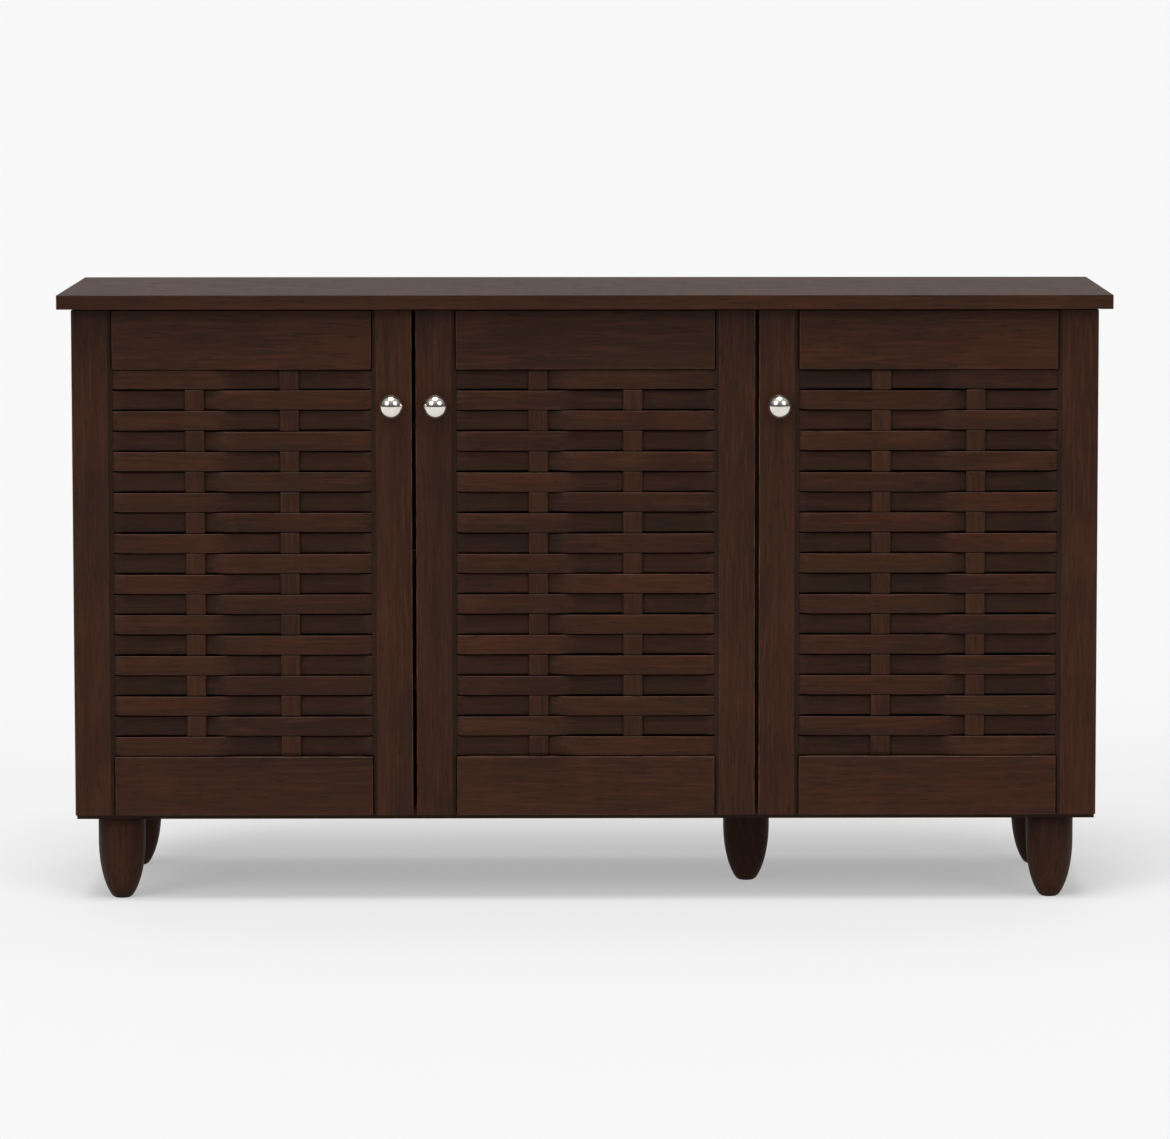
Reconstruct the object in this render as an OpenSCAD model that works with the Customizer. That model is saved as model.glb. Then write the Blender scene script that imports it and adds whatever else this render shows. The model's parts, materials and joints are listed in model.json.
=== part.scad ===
// Three-door shoe cabinet with woven-slat doors, five turned legs and shelves.
// Frame: origin on the floor under the middle of the whole object, +Z up,
// the doors face -Y and +X runs to the right of someone facing the doors.

/* [Overall] */
// Width of the top panel
top_w = 1200; // [1000:10:1400]
// Depth of the top panel
top_d = 350; // [320:5:450]
// Height from the floor to the upper face of the top panel
total_h = 700; // [640:5:800]
// Height of the turned legs
leg_h = 95; // [80:1:120]

/* [Boards] */
// Thickness of the top panel
top_t = 16; // [15:1:22]
// Thickness of the sides, the partition, the bottom and the shelves
board_t = 15; // [15:1:18]
// Thickness of the back panel
back_t = 3; // [2.5:0.5:5]
// How far the top panel runs past each side
side_overhang = 15; // [5:1:30]
// How far the top panel runs past the front of the doors
front_overhang = 15; // [5:1:24]

/* [Doors] */
// Thickness of the door frames
door_t = 16; // [16:0.5:20]
// Gap between two neighbouring doors
door_gap = 4.5; // [4.5:0.1:7]
// Gap between the doors and the top panel
door_top_gap = 2; // [1:0.5:5]
// How far the carcass shows below the doors
door_lip = 7; // [2:0.5:15]
// Gap between the carcass and the back of a closed door
stand_off = 3; // [3:0.5:5]
// Width of the door stiles
stile_w = 46; // [44:1:60]
// Height of the top and bottom door rails
rail_h = 67.5; // [50:0.5:90]
// Width of the bevel on the inner edge of a stile
bevel_w = 5.5; // [2:0.5:8]
// Depth of the bevel on the inner edge of a stile
bevel_d = 3; // [1:0.5:3]

/* [Woven panels] */
// Number of cross slats in a door
slat_count = 19; // [11:2:23]
// Thickness of all slats
slat_t = 1.8; // [1.6:0.1:2.4]
// Gap between two neighbouring cross slats
slat_gap = 1.6; // [0.8:0.1:3]
// Width of the two upright slats
upright_w = 22; // [16:1:30]
// Distance of each upright slat from the middle of the panel
upright_off = 54; // [40:1:70]
// Depth of the panel's middle plane behind the front of the door
weave_depth = 5.2; // [5.2:0.1:7]
// Width of the groove that holds the slat ends and the rail tongues
groove_w = 3.2; // [2.8:0.1:4]
// Depth of that groove
groove_d = 7; // [4:0.5:7]

/* [Knobs] */
// Diameter of the knob head
knob_d = 29; // [20:1:34]
// Projection of the knob from the door
knob_h = 25; // [20:1:35]
// Distance of the knob below the top edge of its door
knob_drop = 109; // [60:1:300]

/* [Legs] */
// Largest diameter of a leg
leg_d = 54; // [40:1:60]
// Diameter of the flat foot of a leg
foot_d = 20; // [12:1:30]
// Height of the straight upper stretch of a leg
leg_straight = 28; // [5:1:40]
// Distance of the outer leg axes from the sides of the top panel
leg_in_side = 64; // [50:1:90]
// Distance of the outer leg axes from the front and back of the top panel
leg_in_end = 62; // [50:1:90]
// Place of the middle leg along the width
centre_leg_x = 188; // [150:1:240]

/* [Hinges] */
// Depth of the hinge cup in the door
cup_depth = 11.5; // [11:0.1:12]
// Wall between the hinge cup and the edge of the door
cup_edge = 2.5; // [2.5:0.1:3]
// Distance of the hinges from the ends of the door
hinge_end = 85; // [60:1:110]
// Diameter of the hinge pin
pin_d = 2; // [1.8:0.1:2]
// Distance of the hinge pin from the edge of the door
pin_in = 5.5; // [5.5:0.1:6]
// Depth of the hinge pin below the back of the door
pin_depth = 8.7; // [8.5:0.1:8.7]

/* [Hidden] */
$fn = 48;
e = 0.5;                    // how far a cutting tool runs past a face

// Carcass
body_w = top_w - 2 * side_overhang;
carcass_z = leg_h;                              // underside of the carcass
carcass_h = total_h - top_t - carcass_z;
inner_z = carcass_z + board_t;                  // upper face of the bottom panel
inner_h = carcass_z + carcass_h - inner_z;
side_x = body_w / 2 - board_t;                  // inner face of a side panel

// Depth: the knobs are the foremost and the top panel is the rearmost face
knob_front = max(0, knob_h - front_overhang);
total_d = top_d + knob_front;
top_y0 = -total_d / 2 + knob_front;
top_y1 = total_d / 2;
door_y = top_y0 + front_overhang;               // front face of the doors
carcass_y = door_y + door_t + stand_off;        // front edge of the carcass
back_y = top_y1 - back_t;                       // front face of the back panel

// Doors: 0 is the left one, 1 the middle one and 2 the right one
DOORS = [0, 1, 2];
door_w = (body_w - 2 * door_gap) / 3;
door_z = carcass_z + door_lip;
door_h = total_h - top_t - door_top_gap - door_z;
seam_x = (door_w + door_gap) / 2;               // middle of the right-hand seam
part_x = seam_x - board_t / 2;                  // left face of the partition
open_h = door_h - 2 * rail_h;
corner_cut = 1;                                 // chamfer on the long door edges

// Weave
slat_pitch = open_h / slat_count;
slat_h = slat_pitch - slat_gap;
weave_clear = 0.2;                              // air between crossing slats
weave_lift = slat_t + weave_clear;              // how far a slat bends off its plane
slat_rest = 2;                                  // flat run past each edge of an upright
flat_half = upright_w / 2 + slat_rest;          // half length of a slat's flat stretch
bend_steps = 5;                                 // straight steps in one bend
slat_in = groove_d - 1;                         // length of a slat end in its groove

// Hinges, in the frame of one closed door: X from its hinge edge, Y from its front
cup_d = 35;                                     // the usual cup of a furniture hinge
HINGE_Z = [hinge_end, door_h - hinge_end];
pin_y = door_t - pin_depth;
cup_x = cup_edge + cup_d / 2;
cup_wall = 0.7;
cup_flange_t = 1.2;
cup_flange_h = 56;
cup_flange_w = 17;
cup_stud_d = 8;
cup_stud_h = 9;
cup_stud_off = 22.5;                            // studs above and below the cup axis
pin_l = 16;
cheek_in = 4.5;                                 // the cup's cheeks hold the pin ends
cheek_out = 9.5;
cheek_w = 6.5;
arm_t = 2;                                      // sheet thickness of the hinge arm
arm_reach = 14;                                 // from the pin to the neck of the arm
knuckle_r = 1.7;
knuckle_w = 6;
running = 0.05;                                 // radial play of the pin in the arm
arm_w = 12;
front_y = door_t + stand_off;                   // front edge of the carcass
neck_y = front_y + 8;
arm_end_y = front_y + 46;
foot_end_y = arm_end_y - 4;                     // the arm's foot is shorter than its plate
plate_y = front_y + 4;                          // front edge of the mounting plate
plate_t = 2;
plate_wing_h = 44;
plate_wing_w = 16;
plate_w = 14;
plate_screw_y = front_y + 31;
plate_screw_off = 16;
arm_screw_y = front_y + 14;
screw_d = 4;
screw_head_d = 7;
screw_head_h = 1.8;
screw_l = 12;

// Magnetic catches
catch_w = 44;
catch_h = 14;
catch_d = 28;
catch_in = 48;                                  // from the free edge of the door
catch_air = 0.3;
strike_t = 1.2;
strike_w = 36;
strike_h = 16;
strike_z = door_h - strike_h / 2 - 1;

// Knob screws
knob_screw_d = 4;
knob_screw_in = 12;                             // length inside the knob
knob_screw_head_d = 9;
knob_screw_head_h = 2;
knob_x = door_w - stile_w / 2;
knob_z = door_h - knob_drop;

// Shelves and their pins
shelf_count = 3;
shelf_gap = 1;                                  // air at each end of a shelf
shelf_front = 16;                               // set back from the carcass front
shelf_pitch = (inner_h + board_t) / (shelf_count + 1);
LEFT_BAY = [-side_x, part_x];
RIGHT_BAY = [part_x + board_t, side_x];
shelf_pin_d = 5;
shelf_pin_l = 16;
shelf_pin_in = 8;
part_pin_in = 5.5;                              // the same in the thinner partition
SHELF_PIN_Y = [carcass_y + 50, back_y - 50];

// Carcass fixings
dowel_d = 8;
dowel_l = 24;
dowel_in = 9;                                   // part of a dowel in a face
bolt_d = 6;
bolt_l = 32;
bolt_in = 9;
cam_d = 15;
cam_h = 11;
cam_off = 24;                                   // cam axis behind the joint
top_cam_z = total_h - top_t - cam_off;
low_cam_z = inner_z + cam_off;
FIX_Y = [carcass_y + 45, back_y - 75];          // cam bolts along each joint
DOWEL_Y = [carcass_y + 20, back_y - 25];        // dowels along each joint
nail_d = 1.6;
nail_l = 20;
nail_head_d = 4;
nail_head_h = 0.6;
nail_step = 115;
nail_in_side = 40;                              // first nail of a row from the corner
nail_in_low = 30;
nail_in_top = 40;

// Legs
hanger_d = 8;
hanger_in_leg = 34;
hanger_in_board = 12;
outer_leg_x = top_w / 2 - leg_in_side;
front_leg_y = top_y0 + leg_in_end;
rear_leg_y = top_y1 - leg_in_end;
centre_leg_y = (front_leg_y + rear_leg_y) / 2;
LEGS = [
    [-outer_leg_x, front_leg_y],
    [outer_leg_x, front_leg_y],
    [-outer_leg_x, rear_leg_y],
    [outer_leg_x, rear_leg_y],
    [centre_leg_x, centre_leg_y]
];

wood = "#3b2a24";
wood_light = "#6b5648";
steel = "silver";

// ---------------------------------------------------------------- helpers

// A box from one corner to the opposite one
module box(a, b) {
    translate(a) cube(b - a);
}

// A round bar that starts at the origin and runs along +X, +Y or +Z
module bar_x(d, l) {
    rotate([0, 90, 0]) cylinder(d = d, h = l);
}

module bar_y(d, l) {
    rotate([-90, 0, 0]) cylinder(d = d, h = l);
}

// The frame of a closed door: X from its hinge edge towards its knob, Y from its
// front face backwards, Z from its lower edge. Door 0 hangs on the left, the
// other two on the right, so they are its mirror image.
module at_door(door) {
    if (door == 0)
        translate([-body_w / 2, door_y, door_z]) children();
    else
        translate([body_w / 2 - (2 - door) * (door_w + door_gap), door_y, door_z])
            mirror([1, 0, 0]) children();
}

// Children at the height of both hinges of a door
module at_hinges() {
    for (z = HINGE_Z) translate([0, 0, z]) children();
}

// Inner face that carries the hinges of a door, in the frame of that door
function hinge_face(door) =
    door == 1 ? board_t / 2 - door_gap / 2 : board_t;

// ---------------------------------------------------------------- fixings

// One fixing runs across each joint between two boards. It starts in the face
// of one board (from) and runs along a direction into the end of the other.
SIDE_JOINTS = [
    for (y = [0, 1], side = [-1, 1])
        [side * side_x, y, carcass_z + board_t / 2, -side]
];
TOP_JOINTS = [
    for (y = [0, 1], x = [-side_x - board_t / 2, part_x + board_t / 2, side_x + board_t / 2])
        [x, y]
];

// Rods of the bottom joints: along X, from each side into the bottom panel
module side_rods(d, inside, l, ys) {
    for (j = SIDE_JOINTS)
        translate([j[0] - j[3] * inside, ys[j[1]], j[2]])
            mirror([j[3] < 0 ? 1 : 0, 0, 0]) bar_x(d, l);
}

// Rods of the top joints: down from the top panel into the uprights
module top_rods(d, inside, l, ys) {
    for (j = TOP_JOINTS)
        translate([j[0], ys[j[1]], total_h - top_t + inside - l]) cylinder(d = d, h = l);
}

// Rods of the lower partition joint: up from the bottom panel
module partition_rods(d, inside, l, ys) {
    for (y = ys)
        translate([part_x + board_t / 2, y, inner_z - inside]) cylinder(d = d, h = l);
}

module dowel_rods() {
    side_rods(dowel_d, dowel_in, dowel_l, DOWEL_Y);
    top_rods(dowel_d, dowel_in, dowel_l, DOWEL_Y);
    partition_rods(dowel_d, dowel_in, dowel_l, DOWEL_Y);
}

module bolt_rods() {
    side_rods(bolt_d, bolt_in, bolt_l, FIX_Y);
    top_rods(bolt_d, bolt_in, bolt_l, FIX_Y);
    partition_rods(bolt_d, bolt_in, bolt_l, FIX_Y);
}

// Cams: under the bottom panel, and in the inner faces of the uprights
module cam_discs() {
    for (j = SIDE_JOINTS)
        translate([j[0] + j[3] * cam_off, FIX_Y[j[1]], carcass_z])
            cylinder(d = cam_d, h = cam_h);
    for (y = FIX_Y) {
        for (side = [-1, 1])
            translate([side * side_x, y, top_cam_z])
                mirror([side < 0 ? 1 : 0, 0, 0]) bar_x(cam_d, cam_h);
        for (z = [low_cam_z, top_cam_z])
            translate([part_x, y, z]) bar_x(cam_d, cam_h);
    }
}

// Nails that hold the back panel, as [x, z]: along the bottom and the uprights
function steps(a, b, step) =
    let (n = ceil((b - a) / step)) [for (i = [0:n]) a + (b - a) * i / n];
nail_edge = board_t / 2;
NAILS = concat(
    [
        for (x = steps(-side_x + nail_in_side, side_x - nail_in_side, nail_step))
            [x, carcass_z + nail_edge]
    ],
    [
        for (
            x = [-side_x - nail_edge, part_x + nail_edge, side_x + nail_edge],
            z = steps(inner_z + nail_in_low, total_h - top_t - nail_in_top, nail_step)
        ) [x, z]
    ]
);

module nail_solids() {
    for (n = NAILS) translate([n[0], top_y1, n[1]]) rotate([90, 0, 0]) {
        cylinder(d = nail_head_d, h = nail_head_h);
        cylinder(d = nail_d, h = nail_l);
    }
}

// Hanger bolts: from the legs into the bottom panel
module hanger_rods() {
    for (leg = LEGS)
        translate([leg[0], leg[1], leg_h - hanger_in_leg])
            cylinder(d = hanger_d, h = hanger_in_leg + hanger_in_board);
}

// Heights of the shelves' lower faces
function shelf_z(level) = inner_z + (level + 1) * shelf_pitch - board_t;

// Pins of both bays: half in an upright, half under a shelf
module shelf_pin_rods() {
    for (level = [0:shelf_count - 1], y = SHELF_PIN_Y, bay = [LEFT_BAY, RIGHT_BAY]) {
        z = shelf_z(level) - shelf_pin_d / 2;
        translate([bay[0] - shelf_pin_in, y, z]) bar_x(shelf_pin_d, shelf_pin_l);
        translate([bay[1] + shelf_pin_in - shelf_pin_l, y, z]) bar_x(shelf_pin_d, shelf_pin_l);
    }
}

// The partition is thinner than two pins end to end, so its pins are shorter
module shelf_pin_solids() {
    difference() {
        shelf_pin_rods();
        box(
            [part_x + part_pin_in, carcass_y, inner_z],
            [part_x + board_t - part_pin_in, back_y, total_h]
        );
    }
}

// Screws of the hinge plates and arms, in the frame of a door
module hinge_screw(face, head, y, z) {
    translate([face + head, y, z]) {
        bar_x(screw_head_d, screw_head_h);
        rotate([0, 180, 0]) rotate([0, 90, 0]) cylinder(d = screw_d, h = screw_l);
    }
}

module hinge_screw_solids() {
    for (door = DOORS) at_door(door) at_hinges() {
        face = hinge_face(door);
        for (side = [-1, 1])
            hinge_screw(face, plate_t, plate_screw_y, side * plate_screw_off);
        hinge_screw(face, plate_t + arm_t, arm_screw_y, 0);
    }
}

// Everything that is bored into the boards of the carcass
module carcass_bores() {
    dowel_rods();
    bolt_rods();
    cam_discs();
    nail_solids();
    hanger_rods();
    shelf_pin_solids();
    hinge_screw_solids();
}

// ---------------------------------------------------------------- carcass

module board(a, b, tint = wood) {
    color(tint) difference() {
        box(a, b);
        carcass_bores();
    }
}

module top_panel() {
    board([-top_w / 2, top_y0, total_h - top_t], [top_w / 2, top_y1, total_h], wood_light);
}

module left_side_panel() {
    board([-body_w / 2, carcass_y, carcass_z], [-side_x, back_y, total_h - top_t]);
}

module right_side_panel() {
    board([side_x, carcass_y, carcass_z], [body_w / 2, back_y, total_h - top_t]);
}

module partition() {
    board([part_x, carcass_y, inner_z], [part_x + board_t, back_y, total_h - top_t]);
}

module bottom_panel() {
    board([-side_x, carcass_y, carcass_z], [side_x, back_y, inner_z]);
}

module back_panel() {
    board([-body_w / 2, back_y, carcass_z], [body_w / 2, top_y1, total_h - top_t]);
}

module shelf(bay, level) {
    z = shelf_z(level);
    color(wood) box(
        [bay[0] + shelf_gap, carcass_y + shelf_front, z],
        [bay[1] - shelf_gap, back_y - shelf_gap, z + board_t]
    );
}

module shelf_pins() {
    color(steel) shelf_pin_solids();
}

module panel_dowels() {
    color("burlywood") dowel_rods();
}

module cam_bolts() {
    color(steel) bolt_rods();
}

module cam_locks() {
    color("gray") difference() {
        cam_discs();
        bolt_rods();
    }
}

module back_nails() {
    color(steel) nail_solids();
}

// ---------------------------------------------------------------- legs

// Outline of a leg: straight at the top, then an elliptical taper to the foot
leg_taper = leg_h - leg_straight;
taper_steps = 14;
taper_end = acos(foot_d / leg_d);
taper_axis = leg_taper / sin(taper_end);
LEG_OUTLINE = concat(
    [[0, leg_h], [leg_d / 2, leg_h]],
    [
        for (i = [0:taper_steps])
            let (a = taper_end * i / taper_steps)
                [leg_d / 2 * cos(a), leg_taper - taper_axis * sin(a)]
    ],
    [[0, 0]]
);

module leg(place) {
    color(wood) difference() {
        translate(place) rotate_extrude() polygon(LEG_OUTLINE);
        hanger_rods();
    }
}

module leg_bolts() {
    color(steel) hanger_rods();
}

// ---------------------------------------------------------------- hinges

module hinge_plates() {
    color(steel) difference() {
        for (door = DOORS) at_door(door) at_hinges() {
            face = hinge_face(door);
            box([face, plate_y, -plate_w / 2], [face + plate_t, arm_end_y, plate_w / 2]);
            box(
                [face, plate_screw_y - plate_wing_w / 2, -plate_wing_h / 2],
                [face + plate_t, plate_screw_y + plate_wing_w / 2, plate_wing_h / 2]
            );
        }
        hinge_screw_solids();
    }
}

// A straight length of the arm's strip between two corners in plan
module strip(a, b, width) {
    box([a[0], a[1], -width / 2], [b[0], b[1], width / 2]);
}

// One arm: a knuckle round the pin, a run along the floor of the cup, a neck that
// leaves the cup and a foot that lies on the mounting plate
module hinge_arm(face) {
    foot_x = face + plate_t;
    neck_x = pin_in + arm_reach;
    difference() {
        union() {
            translate([pin_in, pin_y, -knuckle_w / 2]) cylinder(r = knuckle_r, h = knuckle_w);
            strip([pin_in, pin_y - arm_t / 2], [neck_x + arm_t / 2, pin_y + arm_t / 2], knuckle_w);
            strip([neck_x - arm_t / 2, pin_y - arm_t / 2], [neck_x + arm_t / 2, neck_y], knuckle_w);
            strip([foot_x, neck_y - arm_t], [neck_x + arm_t / 2, neck_y], arm_w);
            strip([foot_x, neck_y - arm_t], [foot_x + arm_t, foot_end_y], arm_w);
        }
        translate([pin_in, pin_y, -knuckle_w / 2 - e])
            cylinder(d = pin_d + 2 * running, h = knuckle_w + 2 * e);
    }
}

module hinge_arms() {
    color(steel) difference() {
        for (door = DOORS) at_door(door) at_hinges() hinge_arm(hinge_face(door));
        hinge_screw_solids();
    }
}

module hinge_screws() {
    color(steel) hinge_screw_solids();
}

module magnetic_catches() {
    color("gray") for (door = DOORS) at_door(door) {
        x = door_w - catch_in;
        y = door_t + strike_t + catch_air;
        z = door_h + door_top_gap;
        box([x - catch_w / 2, y, z - catch_h], [x + catch_w / 2, y + catch_d, z]);
    }
}

// ---------------------------------------------------------------- doors

// Cross-section of a stile: X from its outer edge, Y from its front
STILE_OUTLINE = [
    [0, corner_cut],
    [corner_cut, 0],
    [stile_w - bevel_w, 0],
    [stile_w, bevel_d],
    [stile_w, weave_depth - groove_w / 2],
    [stile_w - groove_d, weave_depth - groove_w / 2],
    [stile_w - groove_d, weave_depth + groove_w / 2],
    [stile_w, weave_depth + groove_w / 2],
    [stile_w, door_t],
    [corner_cut, door_t],
    [0, door_t - corner_cut]
];

module stile() {
    linear_extrude(door_h) polygon(STILE_OUTLINE);
}

// Cup and studs of the hinges, as they fill their bores in the stile
module cup_bodies() {
    at_hinges() {
        translate([cup_x, door_t - cup_depth, 0]) bar_y(cup_d, cup_depth);
        for (side = [-1, 1])
            translate([cup_x, door_t - cup_stud_h, side * cup_stud_off]) bar_y(cup_stud_d, cup_stud_h);
    }
}

module door_hinge_stile(door) {
    color(wood) at_door(door) difference() {
        stile();
        cup_bodies();
    }
}

module door_knob_stile(door) {
    color(wood) at_door(door) difference() {
        translate([door_w, 0, 0]) mirror([1, 0, 0]) stile();
        translate([knob_x, -e, knob_z]) bar_y(knob_screw_d, door_t + 2 * e);
    }
}

// A rail lies between the stiles, with a tongue in each of their grooves and a
// groove of its own for the ends of the upright slats
module rail(z, groove_z) {
    y0 = weave_depth - groove_w / 2;
    y1 = weave_depth + groove_w / 2;
    difference() {
        union() {
            box([stile_w, 0, z], [door_w - stile_w, door_t, z + rail_h]);
            box([stile_w - groove_d, y0, z], [door_w - stile_w + groove_d, y1, z + rail_h]);
        }
        box([0, y0, groove_z], [door_w, y1, groove_z + groove_d]);
    }
}

module door_top_rail(door) {
    color(wood) at_door(door) rail(door_h - rail_h, door_h - rail_h);
}

module door_bottom_rail(door) {
    color(wood) at_door(door) rail(0, rail_h - groove_d);
}

// Smooth step from 0 to 1
function ease(t) = (1 - cos(180 * t)) / 2;

// Middle line of a cross slat that passes in front of the upright near the
// hinges and behind the other one, as [distance along the panel, depth]
function bend(x0, x1, y0, y1) =
    [for (i = [0:bend_steps]) let (t = i / bend_steps) [x0 + (x1 - x0) * t, y0 + (y1 - y0) * ease(t)]];
slat_x0 = stile_w - slat_in;
slat_x1 = door_w - slat_x0;
mid_x = door_w / 2;
SLAT_LINE = concat(
    [[slat_x0, 0]],
    bend(stile_w, mid_x - upright_off - flat_half, 0, -weave_lift),
    bend(mid_x - upright_off + flat_half, mid_x + upright_off - flat_half, -weave_lift, weave_lift),
    bend(mid_x + upright_off + flat_half, door_w - stile_w, weave_lift, 0),
    [[slat_x1, 0]]
);

// Outline of a slat round its middle line
function thick(line, t) = concat(
    [for (p = line) [p[0], p[1] - t / 2]],
    [for (i = [len(line) - 1:-1:0]) [line[i][0], line[i][1] + t / 2]]
);
SLAT_OUTLINE = thick(SLAT_LINE, slat_t);

module door_cross_slats(door) {
    color(wood) at_door(door)
        for (row = [0:slat_count - 1])
            translate([0, weave_depth, rail_h + (slat_count - 1 - row) * slat_pitch + slat_gap / 2])
                linear_extrude(slat_h)
                    scale([1, row % 2 == 0 ? 1 : -1]) polygon(SLAT_OUTLINE);
}

module door_upright_slats(door) {
    color(wood) at_door(door)
        for (side = [-1, 1])
            translate([mid_x + side * upright_off, weave_depth, door_h / 2])
                cube([upright_w, slat_t, open_h + 2 * slat_in], center = true);
}

// Outline of a knob: X is the radius, Y the distance from the door
knob_base_r = 8;
knob_neck_r = 5;
knob_base_h = 1.5;
knob_waist_y = 4;                               // the neck is straight from here
knob_flare_y = 9;                               // to here
knob_head_y = 12;
knob_steps = 10;
KNOB_OUTLINE = concat(
    [
        [0, 0],
        [knob_base_r, 0],
        [knob_base_r, knob_base_h],
        [knob_neck_r, knob_waist_y],
        [knob_neck_r, knob_flare_y]
    ],
    [
        for (i = [0:knob_steps])
            let (a = 90 * i / knob_steps)
                [knob_d / 2 * cos(a), knob_head_y + (knob_h - knob_head_y) * sin(a)]
    ]
);

module door_knob(door) {
    color("gainsboro") at_door(door) difference() {
        translate([knob_x, 0, knob_z]) rotate([90, 0, 0]) rotate_extrude() polygon(KNOB_OUTLINE);
        translate([knob_x, -knob_screw_in, knob_z]) bar_y(knob_screw_d, knob_screw_in + e);
    }
}

module door_knob_screw(door) {
    color(steel) at_door(door) translate([knob_x, -knob_screw_in, knob_z]) {
        bar_y(knob_screw_d, knob_screw_in + door_t);
        translate([0, knob_screw_in + door_t, 0]) bar_y(knob_screw_head_d, knob_screw_head_h);
    }
}

// Pins of both hinges, also used for their bores in the cups
module hinge_pin_rods() {
    at_hinges() translate([pin_in, pin_y, -pin_l / 2]) cylinder(d = pin_d, h = pin_l);
}

module door_hinge_cups(door) {
    color(steel) at_door(door) difference() {
        union() {
            cup_bodies();
            at_hinges() box(
                [cup_x - cup_flange_w / 2, door_t, -cup_flange_h / 2],
                [cup_x + cup_flange_w / 2, door_t + cup_flange_t, cup_flange_h / 2]
            );
            at_hinges() translate([cup_x, door_t, 0]) bar_y(cup_d, cup_flange_t);
        }
        at_hinges() difference() {
            translate([cup_x, door_t - cup_depth + cup_wall, 0])
                bar_y(cup_d - 2 * cup_wall, cup_depth + cup_flange_t + e);
            for (side = [0, 1]) mirror([0, 0, side]) pin_cheek();
        }
        hinge_pin_rods();
    }
}

// A cheek stands inside the cup, near the edge of the door, and holds a pin end
module pin_cheek() {
    box(
        [cup_edge, door_t - cup_depth, cheek_in],
        [cup_edge + cheek_w, pin_y + pin_d, cheek_out]
    );
}

module door_hinge_pins(door) {
    color(steel) at_door(door) hinge_pin_rods();
}

module door_strike_plate(door) {
    color(steel) at_door(door)
        translate([door_w - catch_in - strike_w / 2, door_t, strike_z - strike_h / 2])
            cube([strike_w, strike_t, strike_h]);
}

// ---------------------------------------------------------------- assembly

top_panel();
left_side_panel();
right_side_panel();
partition();
bottom_panel();
back_panel();
shelf(LEFT_BAY, 0);  // left_shelf_low
shelf(LEFT_BAY, 1);  // left_shelf_middle
shelf(LEFT_BAY, 2);  // left_shelf_high
shelf(RIGHT_BAY, 0);  // right_shelf_low
shelf(RIGHT_BAY, 1);  // right_shelf_middle
shelf(RIGHT_BAY, 2);  // right_shelf_high
shelf_pins();
panel_dowels();
cam_bolts();
cam_locks();
back_nails();
leg(LEGS[0]);  // front_left_leg
leg(LEGS[1]);  // front_right_leg
leg(LEGS[2]);  // rear_left_leg
leg(LEGS[3]);  // rear_right_leg
leg(LEGS[4]);  // centre_leg
leg_bolts();
hinge_plates();
hinge_arms();
hinge_screws();
magnetic_catches();
door_hinge_stile(0);  // left_door_hinge_stile
door_knob_stile(0);  // left_door_knob_stile
door_top_rail(0);  // left_door_top_rail
door_bottom_rail(0);  // left_door_bottom_rail
door_cross_slats(0);  // left_door_cross_slats
door_upright_slats(0);  // left_door_upright_slats
door_knob(0);  // left_door_knob
door_knob_screw(0);  // left_door_knob_screw
door_hinge_cups(0);  // left_door_hinge_cups
door_hinge_pins(0);  // left_door_hinge_pins
door_strike_plate(0);  // left_door_strike_plate
door_hinge_stile(1);  // middle_door_hinge_stile
door_knob_stile(1);  // middle_door_knob_stile
door_top_rail(1);  // middle_door_top_rail
door_bottom_rail(1);  // middle_door_bottom_rail
door_cross_slats(1);  // middle_door_cross_slats
door_upright_slats(1);  // middle_door_upright_slats
door_knob(1);  // middle_door_knob
door_knob_screw(1);  // middle_door_knob_screw
door_hinge_cups(1);  // middle_door_hinge_cups
door_hinge_pins(1);  // middle_door_hinge_pins
door_strike_plate(1);  // middle_door_strike_plate
door_hinge_stile(2);  // right_door_hinge_stile
door_knob_stile(2);  // right_door_knob_stile
door_top_rail(2);  // right_door_top_rail
door_bottom_rail(2);  // right_door_bottom_rail
door_cross_slats(2);  // right_door_cross_slats
door_upright_slats(2);  // right_door_upright_slats
door_knob(2);  // right_door_knob
door_knob_screw(2);  // right_door_knob_screw
door_hinge_cups(2);  // right_door_hinge_cups
door_hinge_pins(2);  // right_door_hinge_pins
door_strike_plate(2);  // right_door_strike_plate
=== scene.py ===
"""Looks of the three-door shoe cabinet: smooth detailed pieces, wood and metal, light, camera.

Metres, in the frame of the CAD model: origin on the floor under the middle of the cabinet,
+Z up, doors facing -Y. Boards and fittings are the CAD model's own, with eased edges and
materials. The woven slats, the legs and the knobs are rebuilt here with round edges and
smooth bends.
"""

import json
import math
import random

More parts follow.
